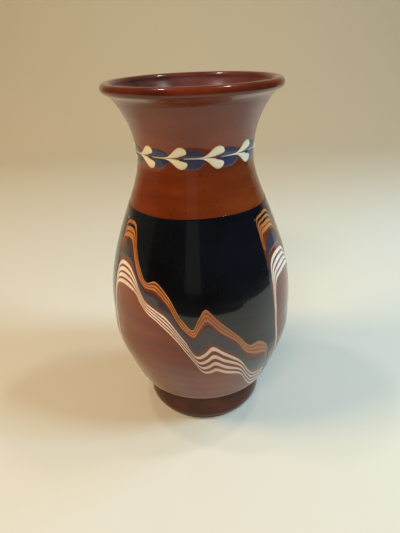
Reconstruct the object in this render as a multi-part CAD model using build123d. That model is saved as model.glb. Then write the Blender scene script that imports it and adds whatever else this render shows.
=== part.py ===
from build123d import *
import math
import os

# A thrown redware vase with slip-trailed decoration, all lengths in millimetres.
# The origin is the centre of the foot where it stands, +Z is the throwing axis and -Y is the front.

# Heights, each one a rise above the stage below it.
foot_waist_rise = 14.5
undercut_rise = 7.3
belly_rise = 46.8
shoulder_rise = 55.7
neck_rise = 20.7
flare_rise = 30.4

# Outer radii at those heights.
foot_base_radius = 30.7
foot_bulge_radius = 33.0
foot_waist_radius = 31.2
edge_radius = 38.3
belly_radius = 49.1
neck_radius = 28.8
rim_radius = 39.3

# How far each outline runs straight on before it bends away.
edge_slope = 0.40
edge_pull = 31.2
belly_pull_down = 16.8
belly_pull_up = 33.2
neck_pull_down = 15.8
neck_pull_up = 16.0
rim_slope = 0.72
rim_pull = 6.5

# Walls and layers.
bead_radius = 2.4
wall = 4.2
foot_wall = 6.0
floor_thickness = 9.0
throat_drop = 10.0
coat_thickness = 0.35
glaze_thickness = 0.30
slip_thickness = 0.30
line_gap = 0.24
seat_gap = 0.05
outline_steps = 64
line_rows = 2
slate_rows = 6
black_rows = 14
leaf_rows = 2

# The painted hills: where each starts round the pot, how far it reaches, where its top flat ends
# and how much higher its top stands, all in degrees round the axis except the last.
hill_starts = [-67.5, 46.7, 169.5]
hill_reaches = [114.2, 122.8, 123.0]
hill_flat_ends = [14.0, 21.0, 17.0]
hill_lifts = [0.0, 1.4, 0.6]
orange_line_counts = [3, 4, 4]
cream_line_count = 4
slate_share = (0.12, 0.86)

# The garland round the neck.
garland_count = 11
garland_start = -33.3
garland_rise = 25.5
garland_repeat = 16.45
leaf_length = 13.6
leaf_height = 5.2
needle_gap = 0.25
dot_length = 7.2
dot_height = 10.0

# The black field's edges, and at which point along a crest the next hill's edge begins to face it.
black_ring_width = 2.0
black_margin = 0.5
black_margin_degrees = 0.35
black_corner_radius = 2.5
black_turn = 14

edge_height = foot_waist_rise + undercut_rise
belly_height = edge_height + belly_rise
shoulder_height = belly_height + shoulder_rise
neck_height = shoulder_height + neck_rise
rim_height = neck_height + flare_rise
garland_height = shoulder_height + garland_rise
black_ring_foot = shoulder_height - black_ring_width

# One hill, as brush lines from its steep left edge over the top and down to the foot.
# Each point is degrees from the hill's start, then the share of the way up from the foot edge
# to the shoulder line, in hundredths.
crest = [(0, 80), (0, 88), (0.8, 94), (5, 95.4), (14, 95), (21.5, 84), (27.5, 76.3), (33, 71.2), (39, 72.8),
         (47.5, 67.5), (56.5, 55.8), (62, 51.3), (65.2, 56.8), (69, 61.5), (75.5, 56.3), (87.5, 45.5),
         (96, 37.7), (101.5, 38.2), (108, 33.8), (113.5, 22.2)]
orange_foot = [(1.7, 79), (1.9, 83), (2.7, 86), (6.5, 86.8), (13.5, 86.5), (20.5, 79), (26.5, 72),
               (32.5, 68.3), (39, 67.9), (47, 63), (55.5, 52), (62.5, 47), (65.7, 51), (69.7, 55), (76.5, 49.5),
               (87, 41.4), (94, 33.2), (100, 30.4), (106.5, 29), (112.5, 23)]
cream_top = [(5.6, 15), (2.6, 32), (1.1, 50), (1.2, 62), (2.6, 73), (6, 76.2), (16.5, 76), (23, 72),
             (27.5, 67), (33, 62), (39.5, 59.5), (46.5, 56.6), (56.5, 46), (64.5, 37), (68.3, 39), (72, 42.1),
             (78.5, 38.8), (88, 32), (97, 20.5), (102.5, 15.5), (108.5, 14), (115.5, 13.2)]
cream_foot = [(6.3, 15), (3.7, 32), (2.4, 50), (3, 59), (5.5, 63.6), (11, 64.8), (20.5, 64.6), (25.5, 63.2),
              (29.5, 59.7), (34.5, 55.8), (41, 52.7), (49.5, 46.6), (59.5, 35.3), (68.7, 23.4), (71.5, 23.5),
              (74.5, 24.4), (81, 21.3), (90, 18.7), (98.5, 9), (106, 2), (113.5, 0.7), (121.5, 0.6)]
slate_top = [(0, 64), (0, 70), (0.2, 75), (1, 78), (2.4, 82.3), (5.5, 86.2), (13.5, 86.5)] + orange_foot[5:]
slate_foot = [(1.2, 63), (1.5, 67), (1.9, 71), (2.5, 74.2), (4, 75.8), (8, 76.3), (16.5, 76)] + cream_top[7:]

# Where the black field stops: down the steep left edge of a hill, and past the end of its crest.
left_edge = [(0, 88), (0, 80), (0.1, 66), (0.8, 50), (2.2, 34), (4.2, 22), (6.8, 10), (9.5, 0.8)]
crest_end = [(116.5, 13), (121.5, 0.8)]


def flat_point(radius, height):
    return (radius, 0, height)


def outer_curves(offset):
    """The outside from the foot edge to the rim as three curves, moved out by offset."""
    edge = flat_point(edge_radius + offset, edge_height)
    edge_handle = flat_point(edge_radius + offset + edge_pull * edge_slope, edge_height + edge_pull)
    belly = flat_point(belly_radius + offset, belly_height)
    below_belly = flat_point(belly_radius + offset, belly_height - belly_pull_down)
    above_belly = flat_point(belly_radius + offset, belly_height + belly_pull_up)
    neck = flat_point(neck_radius + offset, neck_height)
    below_neck = flat_point(neck_radius + offset, neck_height - neck_pull_down)
    above_neck = flat_point(neck_radius + offset, neck_height + neck_pull_up)
    rim = flat_point(rim_radius + offset, rim_height)
    rim_handle = flat_point(rim_radius + offset - rim_pull * rim_slope, rim_height - rim_pull)
    return [
        Bezier(edge, edge_handle, below_belly, belly),
        Bezier(belly, above_belly, below_neck, neck),
        Bezier(neck, above_neck, rim_handle, rim),
    ]


def cubic(values, along):
    """A value on a cubic curve with these four control values."""
    back = 1 - along
    weights = (back**3, 3 * back**2 * along, 3 * back * along**2, along**3)
    return sum(weight * value for weight, value in zip(weights, values))


def spin(edges):
    """A solid turned about the axis from the closed outline that the edges make."""
    return revolve(make_face(edges), Axis.Z)


def layer(inner_offset, outer_offset):
    """A skin that follows the outside, between two offsets from it."""
    inner = outer_curves(inner_offset)
    outer = outer_curves(outer_offset)
    foot_end = Line(inner[0] @ 0, outer[0] @ 0)
    rim_end = Line(inner[-1] @ 1, outer[-1] @ 1)
    return spin(inner + outer + [foot_end, rim_end])


# The rim is a round bead; the coat ends under it and the glaze goes over it.
under_bead = math.radians(250)
bead_centre = (
    rim_radius - bead_radius * math.cos(under_bead),
    rim_height - bead_radius * math.sin(under_bead),
)


def bead_point(angle, radius):
    return flat_point(bead_centre[0] + radius * math.cos(angle), bead_centre[1] + radius * math.sin(angle))


def bead_arc(radius):
    """The bead's section from its underside, round the outside and over the top to the throat."""
    start = under_bead - 2 * math.pi
    end = math.pi
    return ThreePointArc(
        bead_point(start, radius), bead_point((start + end) / 2, radius), bead_point(end, radius)
    )


def inside_curve(offset):
    """The inside from the bead's inner face down to the middle of the floor, moved in by offset."""
    clay_bead = bead_radius - glaze_thickness
    throat_top = bead_point(math.pi, clay_bead + offset)
    points = [
        throat_top,
        flat_point(throat_radius - offset, throat_height),
        flat_point(neck_radius - wall - offset, neck_height),
        flat_point(shoulder_radius - wall - offset, shoulder_height),
        flat_point(belly_radius - wall - offset, belly_height),
        flat_point(edge_radius - foot_wall - offset, edge_height + foot_waist_rise / 3),
        flat_point((edge_radius - foot_wall) / 2, floor_thickness + undercut_rise / 4 + offset),
        flat_point(0, floor_thickness + offset),
    ]
    return Spline(points, tangents=[(0, 0, -1), (-1, 0, 0)])


def radius_at(height):
    """The outer radius at a height, found on the curve that spans that height."""
    edge_handle = edge_radius + edge_pull * edge_slope
    rim_handle = rim_radius - rim_pull * rim_slope
    lower = (edge_radius, edge_handle, belly_radius, belly_radius)
    middle = (belly_radius, belly_radius, neck_radius, neck_radius)
    upper = (neck_radius, neck_radius, rim_handle, rim_radius)
    stages = [
        (edge_height, edge_pull, belly_pull_down, belly_height, lower),
        (belly_height, belly_pull_up, neck_pull_down, neck_height, middle),
        (neck_height, neck_pull_up, rim_pull, rim_height, upper),
    ]
    for low, pull_low, pull_high, high, radii in stages:
        if height <= high:
            break
    heights = (low, low + pull_low, high - pull_high, high)
    start, end = 0.0, 1.0
    for _ in range(30):
        halfway = (start + end) / 2
        if cubic(heights, halfway) < height:
            start = halfway
        else:
            end = halfway
    return cubic(radii, start)


shoulder_radius = radius_at(shoulder_height)
throat_height = rim_height - throat_drop
throat_radius = radius_at(throat_height) - wall


def clay_body():
    """The thrown pot itself: foot, wall, neck and the clay core of the bead."""
    outer = outer_curves(-coat_thickness)
    wall_top = outer[-1] @ 1
    coat_end = flat_point(rim_radius, rim_height)
    bead = bead_arc(bead_radius - glaze_thickness)
    inside = inside_curve(0)
    foot_side = Spline(
        flat_point(foot_base_radius, 0),
        flat_point(foot_bulge_radius, foot_waist_rise * 0.42),
        flat_point(foot_waist_radius, foot_waist_rise),
    )
    undercut = Line(flat_point(foot_waist_radius, foot_waist_rise), outer[0] @ 0)
    base = Line(flat_point(0, 0), flat_point(foot_base_radius, 0))
    axis = Line(flat_point(0, 0), inside @ 1)
    coat_seat = Line(wall_top, coat_end)
    bead_root = Line(coat_end, bead @ 0)
    return spin([base, foot_side, undercut] + outer + [coat_seat, bead_root, bead, inside, axis])


def inner_glaze():
    """Dark glaze over the floor, the inside wall and the whole bead."""
    clay_side = bead_arc(bead_radius - glaze_thickness)
    outside = bead_arc(bead_radius)
    inside = inside_curve(0)
    surface = inside_curve(glaze_thickness)
    lip_end = Line(clay_side @ 0, outside @ 0)
    floor_end = Line(inside @ 1, surface @ 1)
    return spin([clay_side, inside, floor_end, surface, outside, lip_end])


def on_hill(outline, hill):
    """A hill's outline as angles round the pot and heights, for the hill of that number."""
    flat_end = crest[4][0]
    flat_stretch = hill_flat_ends[hill] / flat_end
    fall_stretch = (hill_reaches[hill] - hill_flat_ends[hill]) / (hill_reaches[0] - flat_end)
    places = []
    for degrees, share in outline:
        turned = min(degrees, flat_end) * flat_stretch + max(degrees - flat_end, 0) * fall_stretch
        rise = (shoulder_height - edge_height + hill_lifts[hill]) * share / 100
        places.append((hill_starts[hill] + turned, edge_height + rise))
    return places


def distances(outline):
    """How far along an outline each of its points lies."""
    stations = [0.0]
    for before, after in zip(outline, outline[1:]):
        stations.append(stations[-1] + math.dist(before, after))
    return stations


def smooth(outline, stations):
    """Evenly spaced places along a curve that meets an outline's points at the stations.

    Between two points the curve is cubic, and its slope at a point is the mean of the slopes
    before and after, the nearer one counting more."""
    last = len(outline) - 1
    spans = [after - before for before, after in zip(stations, stations[1:])]
    straight = [
        ((b[0] - a[0]) / span, (b[1] - a[1]) / span) for a, b, span in zip(outline, outline[1:], spans)
    ]
    slopes = [straight[0]]
    for before in range(last - 1):
        near, far = spans[before], spans[before + 1]
        pairs = zip(straight[before], straight[before + 1])
        slopes.append(tuple((come * far + go * near) / (near + far) for come, go in pairs))
    slopes.append(straight[-1])
    places, here = [], 0
    for step in range(outline_steps + 1):
        reached = stations[-1] * step / outline_steps
        while here < last - 1 and reached > stations[here + 1]:
            here += 1
        third = spans[here] / 3
        along = (reached - stations[here]) / spans[here]
        ends = zip(outline[here], outline[here + 1], slopes[here], slopes[here + 1])
        controls = [(a, a + go * third, b - come * third, b) for a, b, go, come in ends]
        places.append(tuple(cubic(values, along) for values in controls))
    return places


def paired(outer, inner):
    """Two outlines made smooth at the same pace, the pace of the line halfway between them."""
    middle = [((a[0] + b[0]) / 2, (a[1] + b[1]) / 2) for a, b in zip(outer, inner)]
    stations = distances(middle)
    return smooth(outer, stations), smooth(inner, stations)


def rail(places, offset):
    """A curve on the pot through angles and heights, at an offset from the coat."""
    points = []
    for degrees, height in places:
        angle = math.radians(degrees)
        radius = radius_at(height) + offset
        points.append((radius * math.sin(angle), -radius * math.cos(angle), height))
    steps = range(len(points))
    return Edge.make_spline(points, parameters=[float(step) for step in steps])


def ruled(first, second):
    return Face.make_surface_from_curves(first, second)


def laid_slip(edges, start, end, rows):
    """Slip laid on the coat, filling from start to end of the band between two edges."""
    piece = slip_between(edges, start, end, rows)
    inside_out = piece.volume < 0
    return slip_between(edges, end, start, rows) if inside_out else piece


def slip_between(edges, start, end, rows):
    under, over = [], []
    for row in range(rows + 1):
        share = start + (end - start) * row / rows
        places = [
            (a[0] + (b[0] - a[0]) * share, a[1] + (b[1] - a[1]) * share) for a, b in zip(*edges)
        ]
        under.append(rail(places, seat_gap))
        over.append(rail(places, slip_thickness))
    faces = [ruled(under[0], over[0]), ruled(under[-1], over[-1])]
    for row in range(rows):
        faces += [ruled(under[row], under[row + 1]), ruled(over[row], over[row + 1])]
        for side in (0, 1):
            low = Edge.make_line(under[row] @ side, under[row + 1] @ side)
            high = Edge.make_line(over[row] @ side, over[row + 1] @ side)
            faces.append(ruled(low, high))
    return Solid(Shell(faces))


def hill_lines(hill):
    """The orange lines, the slate band and the cream lines of one hill, each with its name."""
    pieces = {}
    groups = [
        ("orange_line", crest, orange_foot, orange_line_counts[hill]),
        ("cream_line", cream_top, cream_foot, cream_line_count),
    ]
    for title, outer, inner, count in groups:
        edges = paired(on_hill(outer, hill), on_hill(inner, hill))
        for line in range(count):
            start = (line + line_gap / 2) / count
            end = (line + 1 - line_gap / 2) / count
            name = f"hill_{hill + 1}_{title}_{line + 1}"
            pieces[name] = laid_slip(edges, start, end, line_rows)
    edges = paired(on_hill(slate_top, hill), on_hill(slate_foot, hill))
    pieces[f"hill_{hill + 1}_slate_band"] = laid_slip(edges, *slate_share, slate_rows)
    return pieces


def black_ring():
    """The black slip's straight-edged top, all round the shoulder."""
    heights = [black_ring_foot + (shoulder_height - black_ring_foot) * step / 3 for step in range(4)]
    under = Spline(*[flat_point(radius_at(height) + seat_gap, height) for height in heights])
    over = Spline(*[flat_point(radius_at(height) + slip_thickness, height) for height in heights])
    return spin([under, over, Line(under @ 0, over @ 0), Line(under @ 1, over @ 1)])


def black_fall(hill):
    """Black slip from the ring down between one hill's crest and the next hill's left edge."""
    following = (hill + 1) % len(hill_starts)
    turn = 360 if following == 0 else 0
    left = hill_starts[hill] + black_margin_degrees
    right = hill_starts[following] + turn - black_margin_degrees
    top = black_ring_foot - seat_gap
    beside = [
        (angle + black_margin_degrees, height + black_margin)
        for angle, height in on_hill(crest[3:] + crest_end, hill)
    ]
    beside = [(left, beside[0][1])] + beside
    corner = (right - black_corner_radius / 2, top)
    above = [(left + (corner[0] - left) * step / 9, top) for step in range(10)]
    down = [corner, (right, top - black_corner_radius)]
    down += [(angle + turn - black_margin_degrees, height) for angle, height in on_hill(left_edge, following)]
    # The first stretch lies under the ring and over the crest, the second beside the next hill.
    edges = ([], [])
    for stretch in ((above, beside[:black_turn]), (down, beside[black_turn - 1:])):
        for edge, outline in zip(edges, stretch):
            edge += smooth(outline, distances(outline))[len(edge) > 0:]
    return laid_slip(edges, 0, 1, black_rows)


def on_garland(outline, place, side):
    """An outline in millimetres along and away from the garland's middle line, put round the neck.

    One repeat of the pattern is stretched or squeezed so that a whole number of them goes round."""
    degrees_per_mm = 360 / garland_count / garland_repeat
    start = garland_start + place * 360 / garland_count
    return [(start + along * degrees_per_mm, garland_height + side * away) for along, away in outline]


def leaf_edges():
    """A leaf's outer edge and the edge along the needle's line, from the tip to the round end."""
    swell = [(0, 0.04), (0.2, 0.09), (0.38, 0.3), (0.52, 0.74), (0.65, 1), (0.8, 0.97), (0.93, 0.74),
             (1, 0.5)]
    notch = [0, 0, 0, 0.01, 0.04, 0.1, 0.2, 0.3]
    outer = [(leaf_length * along, leaf_height * away) for along, away in swell]
    inner = [(along, needle_gap / 2 + leaf_height * away) for (along, _), away in zip(outer, notch)]
    return outer, inner


def dot_edges():
    """Half a dot: its round edge and the edge that keeps clear of the leaf that lies over it."""
    leaf_outer, _ = leaf_edges()
    clear = 2 * needle_gap
    start = leaf_length - garland_repeat + clear
    end = start + dot_length
    outer, inner = [], []
    for step in range(9):
        along = start + (end - start) * step / 8
        round_part = math.sin(math.pi * (0.14 + 0.72 * step / 8))
        leaf_here = 0.0
        for before, after in zip(leaf_outer, leaf_outer[1:]):
            if before[0] <= along <= after[0]:
                leaf_here = before[1] + (after[1] - before[1]) * (along - before[0]) / (after[0] - before[0])
        outer.append((along, dot_height / 2 * round_part))
        inner.append((along, leaf_here + clear))
    return outer, inner


def garland():
    """Slate dots and pairs of cream leaves in turn round the neck, each parted by the needle's line."""
    pieces = {}
    shapes = {"leaf_pair": leaf_edges(), "dot": dot_edges()}
    for place in range(garland_count):
        for title, (outer, inner) in shapes.items():
            halves = []
            for side in (1, -1):
                edges = paired(on_garland(outer, place, side), on_garland(inner, place, side))
                halves.append(laid_slip(edges, 0, 1, leaf_rows))
            pieces[f"garland_{title}_{place + 1:02d}"] = Compound(children=halves)
    return pieces


def build():
    pieces = {
        "clay_body": clay_body(),
        "inner_glaze": inner_glaze(),
        "red_slip_coat": layer(-coat_thickness, 0),
    }
    pieces["black_slip_ring"] = black_ring()
    for hill in range(len(hill_starts)):
        pieces[f"black_slip_fall_{hill + 1}"] = black_fall(hill)
        pieces.update(hill_lines(hill))
    pieces.update(garland())
    return pieces


def write(pieces):
    os.makedirs("parts", exist_ok=True)
    for name, piece in pieces.items():
        piece.label = name
        export_step(piece, f"parts/{name}.step")
        print(name, "volume", round(piece.volume, 2))


write(build())
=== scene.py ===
import math
import bpy
import numpy as np
from mathutils import Matrix


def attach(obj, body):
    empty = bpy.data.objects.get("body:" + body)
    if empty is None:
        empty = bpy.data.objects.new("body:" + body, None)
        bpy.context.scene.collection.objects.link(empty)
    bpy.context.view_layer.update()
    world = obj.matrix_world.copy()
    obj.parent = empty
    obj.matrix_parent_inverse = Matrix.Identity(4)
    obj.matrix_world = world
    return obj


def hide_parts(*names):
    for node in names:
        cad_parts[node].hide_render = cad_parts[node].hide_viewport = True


# A slip-trailed redware vase. Lengths in the shape dictionaries are millimetres and turns are
# degrees round the axis, 0 at the front and growing to the right. Meshes, looks, lamps and the
# camera are in metres.

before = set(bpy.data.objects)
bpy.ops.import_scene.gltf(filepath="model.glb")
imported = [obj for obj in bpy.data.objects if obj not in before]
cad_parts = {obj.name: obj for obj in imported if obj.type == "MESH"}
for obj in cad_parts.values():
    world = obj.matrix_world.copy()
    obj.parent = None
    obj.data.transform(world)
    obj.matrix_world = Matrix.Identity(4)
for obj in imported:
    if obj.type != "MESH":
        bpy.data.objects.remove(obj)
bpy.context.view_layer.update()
mm = 0.001
print("frame loaded")

potShape = {
    "edge": (38.3, 21.8), "edgePull": 31.2, "edgeSlope": 0.40,
    "belly": (49.1, 68.6), "bellyPullDown": 16.8, "bellyPullUp": 33.2,
    "neck": (28.8, 145.0), "neckPullDown": 15.8, "neckPullUp": 16.0,
    "rim": (39.3, 175.4), "rimPull": 6.5, "rimSlope": 0.72,
    "ringDepth": 0.05, "ringSpacing": 6.4, "leanDepth": 0.16, "lumpDepth": 0.06,
    "columns": 288,
}


def bezierCurve(first, firstHandle, lastHandle, last, count):
    # cubic curve: the four points weighted by (1-t)^3, 3t(1-t)^2, 3t^2(1-t) and t^3
    t = np.linspace(0, 1, count)[:, None]
    ends = (1 - t) ** 3 * np.array(first) + t ** 3 * np.array(last)
    return ends + 3 * t * (1 - t) ** 2 * np.array(firstHandle) + 3 * t ** 2 * (1 - t) * np.array(lastHandle)


def outsideCurve(count):
    # radius and height from the foot edge to the bead, as three curves end to end
    pot = potShape
    edge, belly, neck, rim = (np.array(pot[place]) for place in ("edge", "belly", "neck", "rim"))
    lower = bezierCurve(edge, edge + (pot["edgePull"] * pot["edgeSlope"], pot["edgePull"]),
                        belly - (0, pot["bellyPullDown"]), belly, count)
    middle = bezierCurve(belly, belly + (0, pot["bellyPullUp"]),
                         neck - (0, pot["neckPullDown"]), neck, count)
    upper = bezierCurve(neck, neck + (0, pot["neckPullUp"]),
                        rim - (pot["rimPull"] * pot["rimSlope"], pot["rimPull"]), rim, count)
    return np.vstack([lower, middle[1:], upper[1:]])


outside = outsideCurve(400)


def unevenness(turn, height):
    # how far the wall lies inside its true outline: throwing rings that wind round the pot,
    # a slow lean of two waves a turn and a few soft lumps, each a sine lifted to stay positive
    rings = 0.5 + 0.5 * np.sin(2 * np.pi * height / potShape["ringSpacing"] + turn + 0.5 * np.sin(2 * turn))
    lean = 0.5 + 0.5 * np.sin(2 * turn + 0.9 + 0.018 * height)
    lumps = 0.5 + 0.5 * np.sin(3 * turn - 0.06 * height + 1.7) * np.sin(0.11 * height + turn)
    return potShape["ringDepth"] * rings + potShape["leanDepth"] * lean + potShape["lumpDepth"] * lumps


def onPot(degrees, height, offset):
    # points in metres on the outside at a turn and height, moved out by offset
    turn = np.radians(degrees)
    radius = np.interp(height, outside[:, 1], outside[:, 0]) - unevenness(turn, height) + offset
    return mm * np.stack([radius * np.sin(turn), -radius * np.cos(turn), height + 0 * turn], -1)


def shell(points, ringClosed=False):
    # rows of points joined to their neighbours, each row a closed loop. The rows close on each
    # other, or each end closes on the middle of its row. Returns vertices, quads and triangles.
    rows, columns = points.shape[:2]
    index = np.arange(rows * columns).reshape(rows, columns)
    index = np.vstack([index, index[:1]]) if ringClosed else index
    beside = np.roll(index, -1, axis=1)
    quads = np.stack([index[:-1], beside[:-1], beside[1:], index[1:]], -1).reshape(-1, 4)
    vertices = points.reshape(-1, 3)
    triangles = np.zeros((0, 3), int)
    if not ringClosed:
        first, last = len(vertices), len(vertices) + 1
        vertices = np.vstack([vertices, points[0].mean(axis=0), points[-1].mean(axis=0)])
        startFan = np.stack([beside[0], index[0], np.full(columns, first)], -1)
        endFan = np.stack([index[-1], beside[-1], np.full(columns, last)], -1)
        triangles = np.vstack([startFan, endFan])
    corners = np.vstack([quads[:, [0, 1, 2]], quads[:, [0, 2, 3]], triangles])
    a, b, c = (vertices[corners[:, k]] for k in range(3))
    if np.einsum("ij,ij->", a, np.cross(b, c)) < 0:
        quads, triangles = quads[:, ::-1], triangles[:, ::-1]
    return vertices, quads, triangles


def addPiece(name, shells, material, nodes, laid=None):
    # one mesh object of one or more closed shells; laid holds each shell's place along and across
    vertices = np.vstack([s[0] for s in shells])
    starts = np.cumsum([0] + [len(s[0]) for s in shells[:-1]])
    faces = []
    for start, (_, quads, triangles) in zip(starts, shells):
        faces += (quads + start).tolist() + (triangles + start).tolist()
    mesh = bpy.data.meshes.new(name)
    mesh.from_pydata(vertices.tolist(), [], faces)
    mesh.polygons.foreach_set("use_smooth", np.ones(len(faces), bool))
    if laid is not None:
        places = np.vstack(laid).astype(np.float32)
        attribute = mesh.attributes.new("laid", "FLOAT_VECTOR", "POINT")
        attribute.data.foreach_set("vector", places[:, :3].ravel())
        attribute = mesh.attributes.new("laidShare", "FLOAT", "POINT")
        attribute.data.foreach_set("value", places[:, 3].ravel())
    mesh.materials.append(material)
    mesh.update()
    piece = bpy.data.objects.new(name, mesh)
    bpy.context.scene.collection.objects.link(piece)
    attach(piece, "root")
    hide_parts(*nodes)
    return piece


def turned(profile):
    # radius and height pairs spun round the axis, with the pot's unevenness on the outside wall
    radius, height = profile[:, 0][:, None], profile[:, 1][:, None]
    turn = np.linspace(0, 2 * np.pi, potShape["columns"], endpoint=False)[None, :]
    share = np.clip(radius / 20, 0, 1) * np.clip(height / 10, 0, 1)
    radius = radius - unevenness(turn, height) * share
    return mm * np.stack([radius * np.sin(turn), -radius * np.cos(turn), height + 0 * turn], -1)


class Finish:
    # a material being wired: small helpers for the nodes that every glazed slip shares
    def __init__(self, name):
        self.material = bpy.data.materials.new(name)
        self.material.use_nodes = True
        self.tree = self.material.node_tree
        self.shader = self.tree.nodes["Principled BSDF"]
        self.place = self.tree.nodes.new("ShaderNodeTexCoord").outputs["Object"]

    def add(self, kind, **inputs):
        node = self.tree.nodes.new(kind)
        for key, value in inputs.items():
            node.inputs[key].default_value = value
        return node

    def join(self, output, socket):
        self.tree.links.new(output, socket)

    def stretched(self, scale):
        node = self.tree.nodes.new("ShaderNodeMapping")
        node.inputs["Scale"].default_value = scale
        self.join(self.place, node.inputs["Vector"])
        return node.outputs["Vector"]

    def noise(self, scale, detail=4.0, roughness=0.55, stretch=(1, 1, 1), vector=None):
        node = self.add("ShaderNodeTexNoise", Scale=scale, Detail=detail, Roughness=roughness)
        self.join(vector or self.stretched(stretch), node.inputs["Vector"])
        return node.outputs["Fac"]

    def ramp(self, value, stops):
        node = self.tree.nodes.new("ShaderNodeValToRGB")
        elements = node.color_ramp.elements
        while len(elements) < len(stops):
            elements.new(0.5)
        for element, (position, colour) in zip(elements, stops):
            element.position = position
            element.color = (*colour, 1)
        self.join(value, node.inputs["Fac"])
        return node.outputs["Color"]

    def range(self, value, low, high, toLow=0.0, toHigh=1.0):
        node = self.tree.nodes.new("ShaderNodeMapRange")
        for key, number in (("From Min", low), ("From Max", high), ("To Min", toLow), ("To Max", toHigh)):
            node.inputs[key].default_value = number
        self.join(value, node.inputs["Value"])
        return node.outputs["Result"]

    def mix(self, share, first, second):
        node = self.tree.nodes.new("ShaderNodeMix")
        node.data_type = "RGBA"
        for value, title in ((share, "Factor"), (first, "A"), (second, "B")):
            target = [socket for socket in node.inputs if socket.name == title and socket.enabled][0]
            if isinstance(value, (int, float)):
                target.default_value = value
            elif isinstance(value, tuple):
                target.default_value = (*value, 1)
            else:
                self.join(value, target)
        return [output for output in node.outputs if output.enabled][0]

    def maths(self, operation, first, second=0.0):
        node = self.tree.nodes.new("ShaderNodeMath")
        node.operation = operation
        for value, socket in zip((first, second), node.inputs):
            if isinstance(value, (int, float)):
                socket.default_value = value
            else:
                self.join(value, socket)
        return node.outputs["Value"]

    def laidPlace(self):
        # the place along and across laid slip, and how near its edge is, 0 in the middle to 1
        node = self.tree.nodes.new("ShaderNodeAttribute")
        node.attribute_name = "laid"
        parts = self.tree.nodes.new("ShaderNodeSeparateXYZ")
        self.join(node.outputs["Vector"], parts.inputs["Vector"])
        return node.outputs["Vector"], parts.outputs["Z"]

    def laidShare(self):
        node = self.tree.nodes.new("ShaderNodeAttribute")
        node.attribute_name = "laidShare"
        return node.outputs["Fac"]

    def specks(self, scale, threshold):
        # small round dots where a cell's centre is near: pinholes and iron specks
        node = self.add("ShaderNodeTexVoronoi", Scale=scale)
        self.join(self.place, node.inputs["Vector"])
        return self.range(node.outputs["Distance"], threshold * 0.55, threshold, 1.0, 0.0)

    def bump(self, height, strength, distance):
        node = self.add("ShaderNodeBump", Strength=strength, Distance=distance)
        self.join(height, node.inputs["Height"])
        self.join(node.outputs["Normal"], self.shader.inputs["Normal"])
        self.join(node.outputs["Normal"], self.shader.inputs["Coat Normal"])

    def glaze(self, colour, roughness, coatRoughness=0.045, coat=0.8, specular=0.2):
        # the slip's own colour under a clear glossy glaze
        self.join(colour, self.shader.inputs["Base Color"])
        if isinstance(roughness, float):
            self.shader.inputs["Roughness"].default_value = roughness
        else:
            self.join(roughness, self.shader.inputs["Roughness"])
        self.shader.inputs["Specular IOR Level"].default_value = specular
        self.shader.inputs["Coat Weight"].default_value = coat
        self.shader.inputs["Coat Roughness"].default_value = coatRoughness
        self.shader.inputs["Coat IOR"].default_value = 1.5
        return self.material


def linear(red, green, blue):
    # a screen colour of 0 to 255 as the light values that shaders take
    shares = np.array([red, green, blue]) / 255
    return tuple(np.where(shares > 0.04, ((shares + 0.055) / 1.055) ** 2.4, shares / 12.92).tolist())


redSlipLook = {
    "deep": linear(88, 33, 9), "body": linear(106, 42, 13), "thin": linear(122, 54, 20),
    # edge is a pale band along the coat's lower edge: a painted highlight where the rounded edge catches
    # light, partly glaze running thin there
    "edge": linear(168, 112, 78), "speck": linear(48, 20, 12), "roughness": 0.32,
    "edgeHighlightHeights": (0.0221, 0.0226),
}


def redSlipMaterial():
    f = Finish("redSlipGlaze")
    look = redSlipLook
    clouds = f.noise(22.0, 3.0, 0.5)
    streaks = f.noise(40.0, 2.0, 0.5, (1, 1, 5))
    blend = f.maths("ADD", f.maths("MULTIPLY", clouds, 0.6), f.maths("MULTIPLY", streaks, 0.4))
    colour = f.ramp(blend, [(0.30, look["deep"]), (0.50, look["body"]), (0.72, look["thin"])])
    grain = f.noise(900.0, 2.0)
    colour = f.mix(f.range(grain, 0.62, 0.72, 0.0, 0.35), colour, look["thin"])
    colour = f.mix(f.maths("MULTIPLY", f.specks(260.0, 0.16), 0.55), colour, look["speck"])
    parts = f.tree.nodes.new("ShaderNodeSeparateXYZ")
    f.join(f.place, parts.inputs["Vector"])
    # painted highlight: the coat below about 22.6 mm, at its rounded lower edge, is mixed towards the pale
    # edge colour, partly for glaze running thin over the edge
    colour = f.mix(f.range(parts.outputs["Z"], *look["edgeHighlightHeights"], 0.8, 0.0), colour, look["edge"])
    f.bump(f.maths("ADD", f.noise(55.0, 2.0), f.maths("MULTIPLY", grain, 0.02)), 0.12, 0.0006)
    return f.glaze(colour, f.range(streaks, 0.3, 0.7, look["roughness"] - 0.06, look["roughness"] + 0.08))


blackSlipLook = {"body": linear(7, 7, 9), "brown": linear(30, 17, 10), "blue": linear(12, 15, 22)}


def blackSlipMaterial():
    f = Finish("blackSlipGlaze")
    edge = f.laidPlace()[1]
    clouds = f.noise(30.0, 4.0, 0.6)
    colour = f.ramp(clouds, [(0.35, blackSlipLook["body"]), (0.7, blackSlipLook["blue"])])
    thin = f.range(edge, 0.90, 1.0, 0.0, 0.9)
    colour = f.mix(thin, colour, blackSlipLook["brown"])
    f.bump(f.noise(55.0, 2.0), 0.10, 0.0006)
    return f.glaze(colour, f.range(clouds, 0.3, 0.7, 0.22, 0.34), specular=0.25)


trailedLooks = {
    "orange": {"middle": linear(176, 106, 52), "edge": linear(120, 60, 28), "pale": linear(192, 128, 76),
               "dark": linear(128, 68, 32), "worn": linear(142, 92, 60)},
    "cream": {"middle": linear(226, 206, 188), "edge": linear(172, 126, 104), "pale": linear(238, 229, 220),
              "dark": linear(190, 158, 130), "worn": linear(186, 156, 132)},
    "leaf": {"middle": linear(216, 202, 170), "edge": linear(176, 152, 118), "pale": linear(230, 224, 204),
             "dark": linear(190, 182, 150), "worn": linear(216, 202, 170)},
}


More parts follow.
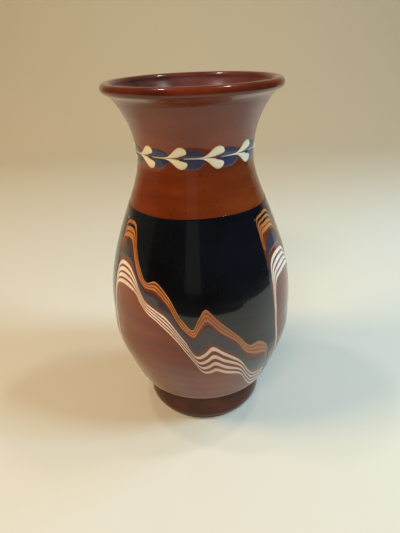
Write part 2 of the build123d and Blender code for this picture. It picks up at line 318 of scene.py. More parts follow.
def trailedMaterial(kind):
    # opaque slip from a trailer: thicker and paler along its middle, stained by what is under its edges
    look = trailedLooks[kind]
    f = Finish(kind + "SlipGlaze")
    vector, edge = f.laidPlace()
    clouds = f.noise(95.0, 4.0, 0.6)
    drag = f.noise(3.2, 3.0, 0.6, vector=vector)
    colour = f.ramp(f.maths("ADD", f.maths("MULTIPLY", clouds, 0.55), f.maths("MULTIPLY", drag, 0.45)),
                    [(0.33, look["dark"]), (0.5, look["middle"]), (0.68, look["pale"])])
    colour = f.mix(f.maths("MULTIPLY", f.range(f.laidShare(), 0.56, 0.68), 0.7), colour, look["worn"])
    stain = f.range(edge, 0.55, 1.0, 0.0, 0.85)
    colour = f.mix(stain, colour, look["edge"])
    colour = f.mix(f.maths("MULTIPLY", f.specks(420.0, 0.14), 0.4), colour, look["edge"])
    f.bump(f.noise(320.0, 3.0), 0.12, 0.0004)
    return f.glaze(colour, 0.34)


slateLook = {"middle": linear(54, 46, 58), "edge": linear(68, 60, 50), "brown": linear(88, 46, 28),
             "violet": linear(58, 44, 84), "grey": linear(62, 54, 54)}


def slateMaterial():
    f = Finish("slateSlipGlaze")
    vector, edge = f.laidPlace()
    drag = f.noise(4.0, 4.0, 0.62, vector=vector)
    colour = f.ramp(f.maths("ADD", f.maths("MULTIPLY", drag, 0.7), f.maths("MULTIPLY", f.noise(60.0), 0.3)),
                    [(0.34, slateLook["edge"]), (0.46, slateLook["grey"]), (0.56, slateLook["middle"]),
                     (0.66, slateLook["violet"])])
    colour = f.mix(f.range(edge, 0.72, 1.0, 0.0, 0.9), colour, slateLook["brown"])
    f.bump(f.noise(240.0, 3.0), 0.10, 0.0004)
    return f.glaze(colour, 0.36)


dotLook = {"middle": linear(46, 48, 80), "grey": linear(70, 58, 66), "deep": linear(32, 32, 56)}


def dotMaterial():
    f = Finish("slateDotGlaze")
    vector, edge = f.laidPlace()
    drag = f.noise(2.4, 4.0, 0.6, vector=vector)
    colour = f.ramp(f.maths("ADD", f.maths("MULTIPLY", drag, 0.5), f.maths("MULTIPLY", f.noise(70.0), 0.5)),
                    [(0.34, dotLook["grey"]), (0.5, dotLook["middle"]), (0.68, dotLook["deep"])])
    colour = f.mix(f.range(edge, 0.75, 1.0, 0.0, 0.55), colour, dotLook["grey"])
    f.bump(f.noise(320.0, 3.0), 0.10, 0.0004)
    return f.glaze(colour, 0.36)


footLook = {"deep": linear(48, 17, 7), "body": linear(72, 27, 10), "thin": linear(98, 42, 18),
            "rawDark": linear(142, 82, 56), "rawPale": linear(178, 118, 86)}


def footMaterial():
    f = Finish("footGlaze")
    clouds = f.noise(48.0, 4.0, 0.6, (1, 1, 2.5))
    colour = f.ramp(clouds, [(0.34, footLook["deep"]), (0.55, footLook["body"]), (0.75, footLook["thin"])])
    f.bump(f.noise(60.0, 2.0), 0.14, 0.0006)
    return f.glaze(colour, 0.3, coat=0.5, specular=0.1)


def rawClayMaterial():
    # the wire-cut underside: dry clay with grog and fine scratches
    f = Finish("rawClay")
    grog = f.noise(420.0, 6.0, 0.7)
    scratches = f.noise(160.0, 4.0, 0.6, (8, 1, 1))
    colour = f.ramp(f.maths("ADD", f.maths("MULTIPLY", grog, 0.5), f.maths("MULTIPLY", scratches, 0.5)),
                    [(0.35, footLook["rawDark"]), (0.65, footLook["rawPale"])])
    f.bump(f.maths("ADD", grog, scratches), 0.35, 0.0005)
    return f.glaze(colour, 0.85, coat=0.0, specular=0.2)


innerGlazeLook = {"deep": linear(56, 28, 24), "body": linear(82, 40, 34), "plum": linear(90, 50, 50),
                  "bead": linear(98, 36, 16), "beadDeep": linear(70, 24, 12), "runOff": linear(106, 42, 13),
                  "beadRadii": (0.0378, 0.0392), "runOffHeights": (0.1752, 0.1768), "runOffSlope": 0.75,
                  "runOffOutwards": (-0.0932, -0.0929)}


def innerGlazeMaterial():
    # dark glaze: plum inside the pot, redder where it runs thin over the bead
    f = Finish("darkGlaze")
    clouds = f.noise(36.0, 4.0, 0.6, (1, 1, 2))
    look = innerGlazeLook
    inside = f.ramp(clouds, [(0.34, look["deep"]), (0.52, look["body"]), (0.7, look["plum"])])
    bead = f.ramp(clouds, [(0.35, look["beadDeep"]), (0.65, look["bead"])])
    parts = f.tree.nodes.new("ShaderNodeSeparateXYZ")
    f.join(f.place, parts.inputs["Vector"])
    across = f.maths("ADD", f.maths("MULTIPLY", parts.outputs["X"], parts.outputs["X"]),
                     f.maths("MULTIPLY", parts.outputs["Y"], parts.outputs["Y"]))
    colour = f.mix(f.range(f.maths("SQRT", across), *look["beadRadii"]), inside, bead)
    # glaze that ran off the bead: low enough, and outside a line that leans out with height
    leaning = f.maths("MULTIPLY", parts.outputs["Z"], look["runOffSlope"])
    outwards = f.maths("SUBTRACT", f.maths("SQRT", across), leaning)
    underBead = f.maths("MULTIPLY", f.range(parts.outputs["Z"], *look["runOffHeights"], 1.0, 0.0),
                        f.range(outwards, *look["runOffOutwards"]))
    colour = f.mix(underBead, colour, look["runOff"])
    f.bump(f.noise(60.0, 2.0), 0.05, 0.0006)
    return f.glaze(colour, 0.24, coatRoughness=0.02, coat=0.7)


redSlipGlaze, blackSlipGlaze = redSlipMaterial(), blackSlipMaterial()
slateSlipGlaze, dotGlaze = slateMaterial(), dotMaterial()
orangeGlaze, creamGlaze, leafGlaze = (trailedMaterial(kind) for kind in ("orange", "cream", "leaf"))
footGlaze, rawClay, darkGlaze = footMaterial(), rawClayMaterial(), innerGlazeMaterial()
print("materials made")

wallShape = {
    "coat": 0.35, "glaze": 0.3, "beadRadius": 2.4, "beadUnder": 250, "wall": 4.2, "footWall": 6.0,
    "floor": 9.0, "throatDrop": 10.0, "footBase": 30.7, "footBulge": 33.0, "footWaist": 31.2,
    "footWaistHeight": 14.5, "edgeRound": 0.5, "baseRound": 0.8,
    "runOffTurn": -24, "runOffHeights": (171.0, 172.4, 174.2),
    "runOffLifts": (-0.06, 0.05, 0.55), "wallHeights": (145.0, 124.3, 96.0, 68.6), "floorRise": 1.8,
    "axisGap": 0.5, "bareBelow": 0.1,
}


def smoothThrough(points, count, stations=None):
    # a curve through points: cubic pieces whose slopes at each point come from its two neighbours,
    # weighted by how near they are; count samples evenly spaced over the stations
    points = np.array(points, float)
    if stations is None:
        steps = np.linalg.norm(np.diff(points, axis=0), axis=1)
        stations = np.concatenate([[0], np.cumsum(np.sqrt(steps))])
    gaps = np.diff(stations)[:, None]
    slopes = np.diff(points, axis=0) / gaps
    between = (slopes[:-1] * gaps[1:] + slopes[1:] * gaps[:-1]) / (gaps[1:] + gaps[:-1])
    tangents = np.vstack([slopes[:1], between, slopes[-1:]])
    at = np.linspace(stations[0], stations[-1], count)
    k = np.clip(np.searchsorted(stations, at, side="right") - 1, 0, len(gaps) - 1)
    t, gap = ((at - stations[k]) / gaps[k, 0])[:, None], gaps[k]
    value = points[k] * (1 + 2 * t) * (1 - t) ** 2 + points[k + 1] * t ** 2 * (3 - 2 * t)
    return value + gap * (tangents[k] * t * (1 - t) ** 2 - tangents[k + 1] * t ** 2 * (1 - t))


w = wallShape
rimRadius, rimHeight = potShape["rim"]
under = math.radians(w["beadUnder"])
beadCentre = np.array(potShape["rim"]) - w["beadRadius"] * np.array([math.cos(under), math.sin(under)])


def beadSection(radius, count):
    # the bead's round section from its underside, over the outside and top, to the throat
    angle = np.linspace(under - 2 * math.pi, math.pi, count)
    return beadCentre + radius * np.stack([np.cos(angle), np.sin(angle)], -1)


def insideCurve(offset, count=120):
    # the inside wall from the bead's inner face down to the middle of the floor
    edgeRadius, edgeHeight = potShape["edge"]
    heights = np.array([rimHeight - w["throatDrop"], *w["wallHeights"]])
    radii = np.interp(heights, outside[:, 1], outside[:, 0]) - w["wall"] - offset
    mouth = [(beadCentre[0] - w["beadRadius"] + w["glaze"] - offset, beadCentre[1])]
    floor = [(edgeRadius - w["footWall"] - offset, edgeHeight + w["footWaistHeight"] / 3),
             ((edgeRadius - w["footWall"]) / 2, w["floor"] + w["floorRise"] + offset),
             (w["axisGap"], w["floor"] + offset)]
    return smoothThrough(mouth + list(zip(radii, heights)) + floor, count)


def footCurve():
    # underside, rounded bottom edge, bulging foot and the slanting undercut below the coat's edge
    bend, waistHeight = w["baseRound"], w["footWaistHeight"]
    base = np.stack([np.linspace(w["axisGap"], w["footBase"] - bend, 14), np.zeros(14)], -1)
    corner = np.linspace(-math.pi / 2, -0.15, 7)
    cornerCurve = np.stack([w["footBase"] - bend + bend * np.cos(corner), bend + bend * np.sin(corner)], -1)
    side = smoothThrough([(w["footBase"] + 0.05, bend + 0.2), (w["footBulge"] - 0.6, 3.2),
                          (w["footBulge"], 6.1), (w["footBulge"] - 0.5, 10.0),
                          (w["footWaist"], waistHeight)], 28)
    edgeRadius, edgeHeight = potShape["edge"]
    top = np.array([edgeRadius - w["coat"], edgeHeight])
    undercut = smoothThrough([(w["footWaist"], waistHeight), (w["footWaist"] + 1.0, waistHeight + 1.6),
                              tuple(top - (1.2, 1.2)), tuple(top)], 16)[1:]
    return np.vstack([base, cornerCurve, side, undercut])


rows = outside[::6]
clayBead = beadSection(w["beadRadius"] - w["glaze"], 24)
clayProfile = np.vstack([footCurve(), rows[1:-1] - (w["coat"], 0), clayBead, insideCurve(0)[1:]])
clayPot = addPiece("thrownClayPot", [shell(turned(clayProfile))], footGlaze, ["clay_body"])
# the underside stays bare of glaze
clayPot.data.materials.append(rawClay)
centres = np.zeros(len(clayPot.data.polygons) * 3)
clayPot.data.polygons.foreach_get("center", centres)
bare = centres[2::3] < w["bareBelow"] * mm
clayPot.data.polygons.foreach_set("material_index", bare.astype(np.int32))


def coatCurve():
    # the red coat's section: up the outside, under the bead, back down against the clay, and a
    # rounded lower edge that overhangs the foot
    edge, coat = np.array(potShape["edge"]), w["coat"]
    lip = edge + [(-coat, -0.02), (-coat * 0.45, -0.14), (-0.08, 0.02), (0.02, w["edgeRound"] / 2)]
    return np.vstack([lip, rows[2:-1], [(rimRadius - 0.05, rimHeight)], (rows[2:-1] - (coat, 0))[::-1]])


addPiece("redSlipCoat", [shell(turned(coatCurve()), True)], redSlipGlaze, ["red_slip_coat"])


def underBeadCurve():
    # glaze that has run down and filled the crease between the neck and the bead
    beadTurn = np.linspace(math.radians(w["runOffTurn"]), math.pi, 40)
    bead = beadCentre + w["beadRadius"] * np.stack([np.cos(beadTurn), np.sin(beadTurn)], -1)
    heights = np.array(w["runOffHeights"])
    radii = np.interp(heights, outside[:, 1], outside[:, 0]) + w["runOffLifts"]
    fill = smoothThrough(np.vstack([np.stack([radii, heights], -1), bead[0] - (0.55, 0.75), bead[0]]), 20)
    return np.vstack([fill[:-1], bead])


glazeProfile = np.vstack([insideCurve(0, 60)[::-1], clayBead[::-1], underBeadCurve(),
                          insideCurve(w["glaze"])[1:]])
addPiece("darkInnerGlaze", [shell(turned(glazeProfile))], darkGlaze, ["inner_glaze"])
print("pot made")

hillShape = {
    # where each hill starts, how far it reaches, where its flat top ends and how much higher it stands;
    # then its outlines, each point a turn from the start and a height in hundredths of the shoulder's
    "starts": [-67.5, 46.7, 169.5], "reaches": [114.2, 122.8, 123.0], "flatEnds": [14.0, 21.0, 17.0],
    "lifts": [0.0, 1.4, 0.6], "orangeCounts": [3, 4, 4], "creamCount": 4, "shoulder": 124.3,
    "crest": [(0, 80), (0, 88), (0.8, 94), (5, 95.4), (14, 95), (21.5, 84), (27.5, 76.3), (33, 71.2),
              (39, 72.8), (47.5, 67.5), (56.5, 55.8), (62, 51.3), (65.2, 56.8), (69, 61.5), (75.5, 56.3),
              (87.5, 45.5), (96, 37.7), (101.5, 38.2), (108, 33.8), (113.5, 22.2)],
    "orangeFoot": [(1.7, 79), (1.9, 83), (2.7, 86), (6.5, 86.8), (13.5, 86.5), (20.5, 79), (26.5, 72),
                   (32.5, 68.3), (39, 67.9), (47, 63), (55.5, 52), (62.5, 47), (65.7, 51), (69.7, 55),
                   (76.5, 49.5), (87, 41.4), (94, 33.2), (100, 30.4), (106.5, 29), (112.5, 23)],
    "creamTop": [(5.6, 15), (2.6, 32), (1.1, 50), (1.2, 62), (2.6, 73), (6, 76.2), (16.5, 76), (23, 72),
                 (27.5, 67), (33, 62), (39.5, 59.5), (46.5, 56.6), (56.5, 46), (64.5, 37), (68.3, 39),
                 (72, 42.1), (78.5, 38.8), (88, 32), (97, 20.5), (102.5, 15.5), (108.5, 14), (115.5, 13.2)],
    "creamFoot": [(6.3, 15), (3.7, 32), (2.4, 50), (3, 59), (5.5, 63.6), (11, 64.8), (20.5, 64.6),
                  (25.5, 63.2), (29.5, 59.7), (34.5, 55.8), (41, 52.7), (49.5, 46.6), (59.5, 35.3),
                  (68.7, 23.4), (71.5, 23.5), (74.5, 24.4), (81, 21.3), (90, 18.7), (98.5, 9), (106, 2),
                  (113.5, 0.7), (121.5, 0.6)],
    "slateTopStart": [(0, 64), (0, 70), (0.2, 75), (1, 78), (2.4, 82.3), (5.5, 86.2), (13.5, 86.5)],
    "slateFootStart": [(1.2, 63), (1.5, 67), (1.9, 71), (2.5, 74.2), (4, 75.8), (8, 76.3), (16.5, 76)],
    "leftEdge": [(0, 88), (0, 80), (0.1, 66), (0.8, 50), (2.2, 34), (4.2, 22), (6.8, 10), (9.5, 0.8)],
    "crestEnd": [(116.5, 13), (121.5, 0.8)],
}
handWaver = np.random.default_rng(7)


def onHill(outline, hill):
    # outline turns stretched to that hill's flat top and fall, heights as shares of the wall; the
    # outlines are drawn for the first hill's reach, with the flat top ending at the crest's fifth point
    flatEnd = hillShape["crest"][4][0]
    points = np.array(outline, float)
    flat = np.minimum(points[:, 0], flatEnd) * hillShape["flatEnds"][hill] / flatEnd
    fall = hillShape["reaches"][hill] - hillShape["flatEnds"][hill]
    stretch = fall / (hillShape["reaches"][0] - flatEnd)
    turn = hillShape["starts"][hill] + flat + np.maximum(points[:, 0] - flatEnd, 0) * stretch
    edgeHeight = potShape["edge"][1]
    rise = hillShape["shoulder"] - edgeHeight + hillShape["lifts"][hill]
    height = edgeHeight + rise * points[:, 1] / 100
    return np.stack([turn, height], -1)


def wander(count, waves, depth):
    # a slow random waver along a line: a few sines of random phase, depth at most
    along = np.linspace(0, 1, count)
    phases = handWaver.uniform(0, 2 * np.pi, len(waves))
    angles = 2 * np.pi * np.array(waves)[:, None] * along + phases[:, None]
    return depth * np.sin(angles).mean(axis=0)


def stationsFor(first, second):
    # a shared pace for two outlines, from the steps of the line halfway between them
    middle = (np.array(first) + np.array(second)) / 2
    steps = np.linalg.norm(np.diff(middle, axis=0) * (0.75, 1), axis=1)
    return np.concatenate([[0], np.cumsum(steps ** 0.75)])


def laidBand(outer, inner, start, end, height, rows, columns=9, flatness=2.0, taper=(0.01, 0.01),
             under=0.08, number=0.0, smoothed=False):
    # slip laid between two outlines: at each step along them a closed section, whose top is a dome,
    # the root of 1 - |across|^flatness, and whose underside lies in the coat; the ends are pulled in
    # by a quarter round. start and end are shares of the way across, one value or one a row.
    outerRail, innerRail = outer, inner
    if not smoothed:
        stations = stationsFor(outer, inner)
        outerRail, innerRail = smoothThrough(outer, rows, stations), smoothThrough(inner, rows, stations)
    along = np.linspace(0, 1, rows)
    close = np.ones(rows)
    for place, length in ((along, taper[0]), (1 - along, taper[1])):
        close = close * np.sqrt(np.clip(1 - np.clip(1 - place / length, 0, 1) ** 2, 0.0004, 1))
    start, end = np.broadcast_to(start, rows), np.broadcast_to(end, rows)
    middle, half = (start + end) / 2, (end - start) / 2 * close
    across = -np.cos(np.linspace(0, np.pi, columns))
    dome = np.sqrt(np.clip(1 - np.abs(across) ** flatness, 0, 1))
    topShare = middle[:, None] + half[:, None] * across[None, :]
    topLift = -under + (height + under) * dome[None, :] * np.sqrt(close)[:, None]
    belowAcross = np.array([0.9, 0.0, -0.9])
    belowShare = middle[:, None] + half[:, None] * belowAcross[None, :]
    belowLift = np.full(belowShare.shape, -under - 0.1)
    share, lift = np.hstack([topShare, belowShare])[..., None], np.hstack([topLift, belowLift])
    place = outerRail[:, None, :] + (innerRail - outerRail)[:, None, :] * share
    points = onPot(place[..., 0], place[..., 1], lift)
    # the material's place on the slip: 12 mm a unit along, each band's across 5 from the next one's,
    # how near the edge, and the share of the way along
    allAcross = np.concatenate([across, belowAcross])[None, :]
    length = np.linalg.norm(np.diff(points[:, 0], axis=0), axis=1).sum() / mm
    parts = ((along * length / 12)[:, None], allAcross + number * 5, np.abs(allAcross), along[:, None])
    laid = np.stack([np.broadcast_to(part, share.shape[:2]) for part in parts], -1).reshape(-1, 4)
    laid = np.vstack([laid, laid[:1], laid[-1:]])
    return shell(points), laid


lineLook = {
    "rows": 200, "height": 0.20, "slateHeight": 0.15, "blackHeight": 0.14, "waver": 0.05,
    "slateStart": 0.10, "slateWaver": 0.04, "slateReach": ([0, 0.25, 0.4, 1], [0.84, 0.84, 0.97, 0.97]),
    # the share of a line's pitch left bare, from the steep start over the top to the tail
    "orangeGaps": [(0, 0.16), (0.3, 0.16), (0.5, 0.20), (0.6, 0.10), (0.7, 0.02), (1, 0.0)],
    "creamGaps": [(0, 0.30), (0.25, 0.24), (0.4, 0.34), (0.6, 0.42), (1, 0.46)],
}


def trailLines(hill, title, outlines, count, material):
    # lines share the band between two outlines; a thin gap parts them, and it closes here and there
    colour = title.split("_")[0]
    outer, inner = (onHill(hillShape[outline], hill) for outline in outlines)
    stops = np.array(lineLook[colour + "Gaps"])
    rows, waver = lineLook["rows"], lineLook["waver"]
    gap = np.interp(np.linspace(0, 1, rows), stops[:, 0], stops[:, 1])
    for line in range(count):
        gapStart = gap / 2 + wander(rows, (2, 5, 9), waver)
        gapEnd = gap / 2 + wander(rows, (3, 4, 11), waver)
        start, end = (line + gapStart) / count, (line + 1 - gapEnd) / count
        band, laid = laidBand(outer, inner, start, end, lineLook["height"], rows, number=hill * 7 + line)
        name = f"hill{hill + 1}{colour.capitalize()}Line{line + 1}"
        addPiece(name, [band], material, [f"hill_{hill + 1}_{title}_{line + 1}"], [laid])


def slateBand(hill):
    # the dragged band between the orange and the cream lines, its edges wavering a little
    top = hillShape["slateTopStart"] + hillShape["orangeFoot"][5:]
    foot = hillShape["slateFootStart"] + hillShape["creamTop"][7:]
    rows, waver = lineLook["rows"], lineLook["slateWaver"]
    reach = np.interp(np.linspace(0, 1, rows), *lineLook["slateReach"])
    start = lineLook["slateStart"] + wander(rows, (2, 5, 7), waver)
    end = reach + wander(rows, (3, 5, 8), waver)
    band, laid = laidBand(onHill(top, hill), onHill(foot, hill), start, end, lineLook["slateHeight"], rows,
                          columns=15, flatness=5.0, number=hill)
    node = f"hill_{hill + 1}_slate_band"
    addPiece(f"hill{hill + 1}SlateBand", [band], slateSlipGlaze, [node], [laid])


creamCount = hillShape["creamCount"]
for hill, orangeCount in enumerate(hillShape["orangeCounts"]):
    trailLines(hill, "orange_line", ("crest", "orangeFoot"), orangeCount, orangeGlaze)
    trailLines(hill, "cream_line", ("creamTop", "creamFoot"), creamCount, creamGlaze)
    slateBand(hill)
print("hills made")

blackShape = {
    "ringTop": 124.3, "ringFoot": 118.6, "fallTop": 123.2, "cornerHeight": 119.0, "pastStart": 0.3,
    # how far the fall reaches under the orange lines, and how its right edge bulges, along each edge
    "tuck": ([0, 0.45, 0.6, 1], [0.6, 0.6, 0.25, 0.1]), "bulge": ([0, 0.2, 0.5, 1], [0.8, 0.4, 0.0, -0.1]),
}


def blackRing():
    # the straight-edged top of the black slip: a rounded upper edge, and a lower edge that sinks
    # into the falls below it
    top, foot = blackShape["ringTop"], blackShape["ringFoot"]
    heights = np.array([top, top - 0.05, top - 0.15, top - 0.35, top - 0.8, top - 1.4, foot + 3, foot + 1.5,
                        foot, foot, foot + 1, top - 1])
    lifts = np.array([-0.05, 0.07, 0.13, 0.165, 0.17, 0.165, 0.145, 0.13, 0.11, -0.2, -0.25, -0.25])
    turn = np.linspace(0, 360, potShape["columns"], endpoint=False)[None, :]
    wave = 0.18 * np.sin(np.radians(2 * turn + 40)) + 0.1 * np.sin(np.radians(5 * turn))
    return onPot(turn, heights[:, None] + wave - 0.28, lifts[:, None])


def blackFall(hill):
    # black slip from the ring down between one hill's crest and the next hill's left edge, as two
    # stretches: under the ring and over the crest, then beside the next hill
    following = (hill + 1) % len(hillShape["starts"])
    wholeTurn = 360 if following == 0 else 0
    left = hillShape["starts"][hill] - blackShape["pastStart"]
    right = hillShape["starts"][following] + wholeTurn
    crest, orangeFoot = (onHill(hillShape[outline][3:], hill) for outline in ("crest", "orangeFoot"))
    tuck = np.interp(np.linspace(0, 1, len(crest)), *blackShape["tuck"])[:, None]
    beside = crest + (orangeFoot - crest) * tuck
    beside = np.vstack([[(left, beside[0][1])], beside, onHill(hillShape["crestEnd"], hill) + (0.35, 0.5)])
    above = np.array([(left + (right - left) * step / 11, blackShape["fallTop"]) for step in range(12)])
    below = onHill(hillShape["leftEdge"], following)
    below[:, 0] += wholeTurn + np.interp(np.linspace(0, 1, len(below)), *blackShape["bulge"])
    below = np.vstack([above[-1:], [(right + 0.6, blackShape["cornerHeight"])], below])
    firstEdges = [smoothThrough(outline, 150) for outline in (above, beside[:14])]
    lastEdges = [smoothThrough(outline, 91)[1:] for outline in (below, beside[13:])]
    outerRail, innerRail = (np.vstack([first, last]) for first, last in zip(firstEdges, lastEdges))
    return laidBand(outerRail, innerRail, 0, 1, lineLook["blackHeight"], rows=240, columns=41,
                    flatness=14.0, smoothed=True)


ringShell = shell(blackRing(), True)
ringLaid = np.zeros((len(ringShell[0]), 4))
addPiece("blackSlipRing", [ringShell], blackSlipGlaze, ["black_slip_ring"], [ringLaid])
for hill in range(len(hillShape["starts"])):
    band, laid = blackFall(hill)
    node = f"black_slip_fall_{hill + 1}"
    addPiece(f"blackSlipFall{hill + 1}", [band], blackSlipGlaze, [node], [laid])
print("black slip made")

garlandShape = {
    "count": 11, "start": -33.3, "height": 149.8, "neckRadius": 28.8, "leafLength": 13.6, "leafHeight": 5.2,
    "gap": 0.05, "dotLength": 12.2, "dotBack": 4.6, "dotAbove": 4.1, "dotBelow": 5.1, "lift": 0.26,
    "dotLift": 0.14,
    # a leaf's edges as shares of its length and height, from the tail to the round end
    "outer": [(-0.36, 0.02), (-0.1, 0.045), (0.12, 0.06), (0.3, 0.14), (0.45, 0.4), (0.58, 0.74),
              (0.72, 0.98), (0.85, 0.98), (0.95, 0.8), (1, 0.56)],
    "inner": [(-0.36, 0), (-0.1, 0), (0.12, 0), (0.3, 0), (0.45, 0.01), (0.58, 0.03), (0.72, 0.08),
              (0.85, 0.17), (0.95, 0.3), (1, 0.42)],
}


def onGarland(points, place, side, size):
    # millimetres along and away from the garland's middle line put round the neck, above or below it
    g = garlandShape
    start = g["start"] + place * 360 / g["count"]
    turn = start + points[:, 0] * math.degrees(1 / g["neckRadius"])
    return np.stack([turn, g["height"] + side * points[:, 1] * size], -1)


def leafHalf(place, side, size, reach):
    g = garlandShape
    scale = (g["leafLength"] * reach, g["leafHeight"])
    outer = np.array(g["outer"]) * scale
    inner = np.array(g["inner"]) * scale + (0, g["gap"] / 2)
    edges = (onGarland(edge, place, side, size) for edge in (outer, inner))
    return laidBand(*edges, 0, 1, g["lift"], rows=44, flatness=2.6, taper=(0.02, 0.06),
                    number=place * 2 + (side > 0))


def dotHalf(place, side, size):
    g = garlandShape
    steps = np.linspace(0, 1, 9)
    pitch = 2 * math.pi * g["neckRadius"] / g["count"]
    along = g["leafLength"] - pitch - g["dotBack"] + g["dotLength"] * steps
    roundPart = np.sin(np.pi * (0.08 + 0.84 * steps)) ** 0.6
    outer = np.stack([along, (g["dotAbove"] if side > 0 else g["dotBelow"]) * roundPart], -1)
    inner = np.stack([along, np.full(9, g["gap"] / 4)], -1)
    edges = (onGarland(edge, place, side, size) for edge in (outer, inner))
    return laidBand(*edges, 0, 1, g["dotLift"], rows=32, columns=11, flatness=4.0, taper=(0.12, 0.12),
                    number=place * 2 + (side > 0))


for place in range(garlandShape["count"]):
    leaves, dots = [], []
    for side in (1, -1):
        size = 1 + handWaver.uniform(-0.07, 0.05)
        reach = 1 + handWaver.uniform(-0.04, 0.03) + (0.02 if side < 0 else -0.02)
        leaves.append(leafHalf(place, side, size, reach))
        dots.append(dotHalf(place, side, size))
    label = f"{place + 1:02d}"
    leafShells, leafLaid = zip(*leaves)
    dotShells, dotLaid = zip(*dots)
    addPiece("garlandLeafPair" + label, leafShells, leafGlaze, ["garland_leaf_pair_" + label],
             leafLaid)
    addPiece("garlandDot" + label, dotShells, dotGlaze, ["garland_dot_" + label], dotLaid)
print("garland made")

stageLook = {
    "floor": linear(196, 188, 172), "wall": linear(206, 188, 158), "wallStart": 0.62, "bend": 0.5,
    "width": 3.2, "front": -2.2, "wallTop": 2.2, "fade": (0.25, 0.75), "world": linear(190, 180, 166),
    "worldStrength": 0.17,
}


def sweep():
    # the floor runs back, bends up through a quarter round and goes on as a wall
    s = stageLook
    turn = np.linspace(0, np.pi / 2, 24)
    floorRun = np.stack([np.linspace(s["front"], s["wallStart"], 12), np.zeros(12)], -1)
    bend = np.stack([s["wallStart"] + s["bend"] * np.sin(turn), s["bend"] * (1 - np.cos(turn))], -1)
    wall = np.array([(s["wallStart"] + s["bend"], s["wallTop"])])
    line = np.vstack([floorRun, bend[1:], wall])
    across = np.array([-s["width"], s["width"]])
    parts = (across, line[:, :1], line[:, 1:])
    points = np.stack([np.broadcast_to(part, (len(line), 2)) for part in parts], -1).reshape(-1, 3)
    index = np.arange(len(line) - 1)[:, None] * 2
    return points, np.hstack([index, index + 1, index + 3, index + 2])


points, faces = sweep()
mesh = bpy.data.meshes.new("studioSweep")
mesh.from_pydata(points.tolist(), [], faces.tolist())
mesh.polygons.foreach_set("use_smooth", np.ones(len(faces), bool))
f = Finish("studioPaper")
parts = f.tree.nodes.new("ShaderNodeSeparateXYZ")
f.join(f.place, parts.inputs["Vector"])
paper = f.mix(f.range(parts.outputs["Y"], *stageLook["fade"]), stageLook["floor"], stageLook["wall"])
f.join(paper, f.shader.inputs["Base Color"])
f.shader.inputs["Roughness"].default_value = 0.8
f.shader.inputs["Specular IOR Level"].default_value = 0.1
mesh.materials.append(f.material)
studioSweep = bpy.data.objects.new("studioSweep", mesh)
bpy.context.scene.collection.objects.link(studioSweep)

lightPlan = {
    # where each lamp stands, where it aims, how wide and tall it is, its power, its colour and
    # whether the glaze mirrors it
    "softLeft": ((-0.80, -0.15, 0.88), (0, 0, 0.09), (0.30, 0.30), 8.6, (1.0, 0.73, 0.38), False),
    "softRight": ((0.80, -0.20, 0.80), (0, 0, 0.09), (0.30, 0.30), 12.0, (0.46, 0.76, 1.0), False),
    "bulbLeft": ((-0.285, 0.05, 0.95), (0, 0, 0.09), (0.055, 0.055), 1.3, (1.0, 0.92, 0.80), True),
    "bulbRight": ((0.33, 0.05, 0.95), (0, 0, 0.09), (0.055, 0.055), 1.3, (1.0, 0.92, 0.80), True),
    "frontKey": ((-0.20, -0.85, 0.92), (0, 0, 0.10), (0.45, 0.12), 6.4, (1.0, 0.88, 0.74), False),
    "skyLight": ((0.0, 0.1, 1.7), (0, 0, 0.0), (1.6, 1.6), 1.0, (1.0, 0.95, 0.88), False),
    "stripFront": ((-0.042, -0.262, 0.16), (-0.042, 0, 0.16), (0.085, 0.16), 0.006, (1.0, 0.97, 0.90), True),
}
coolSpotPlan = {
    "place": (0.75, 0.25, 0.75), "aim": (0.30, 0.02, 0.0), "power": 16.0, "angle": 54,
    "tint": (0.34, 0.68, 1.0), "blend": 1.0, "softness": 0.12,
}


def hangLamp(light, place, target, mirrored):
    # a lamp turned to face its target
    lamp = bpy.data.objects.new(light.name, light)
    bpy.context.scene.collection.objects.link(lamp)
    lamp.location = place
    aim = np.array(target) - np.array(place)
    lamp.rotation_euler = (math.atan2(math.hypot(aim[0], aim[1]), -aim[2]), 0, math.atan2(-aim[0], aim[1]))
    lamp.visible_glossy = mirrored
    return lamp


for name, (place, target, size, power, tint, mirrored) in lightPlan.items():
    light = bpy.data.lights.new(name, "AREA")
    light.shape = "RECTANGLE"
    light.size, light.size_y = size
    light.energy = power
    light.color = tint
    hangLamp(light, place, target, mirrored).visible_camera = False

coolSpot = bpy.data.lights.new("coolSpot", "SPOT")
coolSpot.energy = coolSpotPlan["power"]
coolSpot.color = coolSpotPlan["tint"]
coolSpot.spot_size = math.radians(coolSpotPlan["angle"])
coolSpot.spot_blend = coolSpotPlan["blend"]
coolSpot.shadow_soft_size = coolSpotPlan["softness"]
hangLamp(coolSpot, coolSpotPlan["place"], coolSpotPlan["aim"], False)
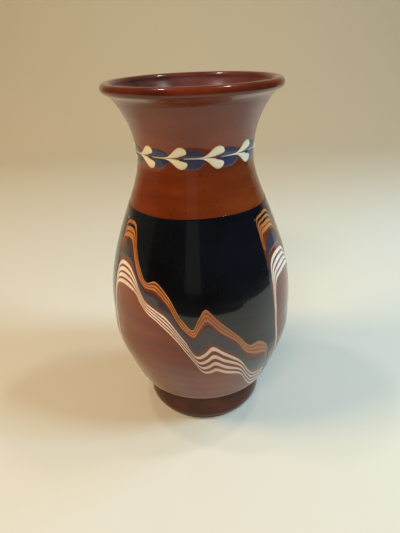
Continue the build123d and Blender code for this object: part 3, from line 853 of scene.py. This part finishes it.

# a dark card beside the camera that only shows in the glaze, where it keeps the black slip deep: a painted
# dark reflection standing in for the photographer and the floor in their shade
cardPlan = {
    "line": [(-0.62, -0.24), (0.05, -0.29), (0.14, -0.30), (0.31, -0.24), (0.42, -0.05), (0.45, 0.25)],
    "height": 0.42,
}
line = np.array(cardPlan["line"])
corners = np.vstack([np.column_stack([line, np.zeros(len(line))]),
                     np.column_stack([line, np.full(len(line), cardPlan["height"])])])
first = np.arange(len(line) - 1)
cardMesh = bpy.data.meshes.new("darkCard")
faces = np.stack([first, first + 1, first + 1 + len(line), first + len(line)], -1)
cardMesh.from_pydata(corners.tolist(), [], faces.tolist())
f = Finish("darkCardPaper")
f.shader.inputs["Base Color"].default_value = (*linear(16, 15, 14), 1)
f.shader.inputs["Roughness"].default_value = 0.9
cardMesh.materials.append(f.material)
darkCard = bpy.data.objects.new("darkCard", cardMesh)
bpy.context.scene.collection.objects.link(darkCard)
darkCard.visible_camera = darkCard.visible_shadow = darkCard.visible_diffuse = False

world = bpy.data.worlds.new("studioAir")
world.use_nodes = True
background = world.node_tree.nodes["Background"]
background.inputs["Color"].default_value = (*stageLook["world"], 1)
background.inputs["Strength"].default_value = stageLook["worldStrength"]
bpy.context.scene.world = world

cameraPlan = {
    "place": (0.0, -0.22316, 0.19650), "pitchDown": 26.986, "roll": -2.479, "lens": 30.39, "sensor": 36.0,
}
camera = bpy.data.cameras.new("frontCamera")
camera.lens = cameraPlan["lens"]
camera.sensor_width = cameraPlan["sensor"]
camera.clip_start = 0.01
viewer = bpy.data.objects.new("frontCamera", camera)
bpy.context.scene.collection.objects.link(viewer)
viewer.location = cameraPlan["place"]
pitch = math.radians(90 - cameraPlan["pitchDown"])
turnUp = Matrix.Rotation(pitch, 4, "X") @ Matrix.Rotation(math.radians(cameraPlan["roll"]), 4, "Z")
viewer.matrix_world = Matrix.Translation(cameraPlan["place"]) @ turnUp
bpy.context.scene.camera = viewer
bpy.context.scene.view_settings.view_transform = "Standard"
print("stage made")

bpy.context.view_layer.update()
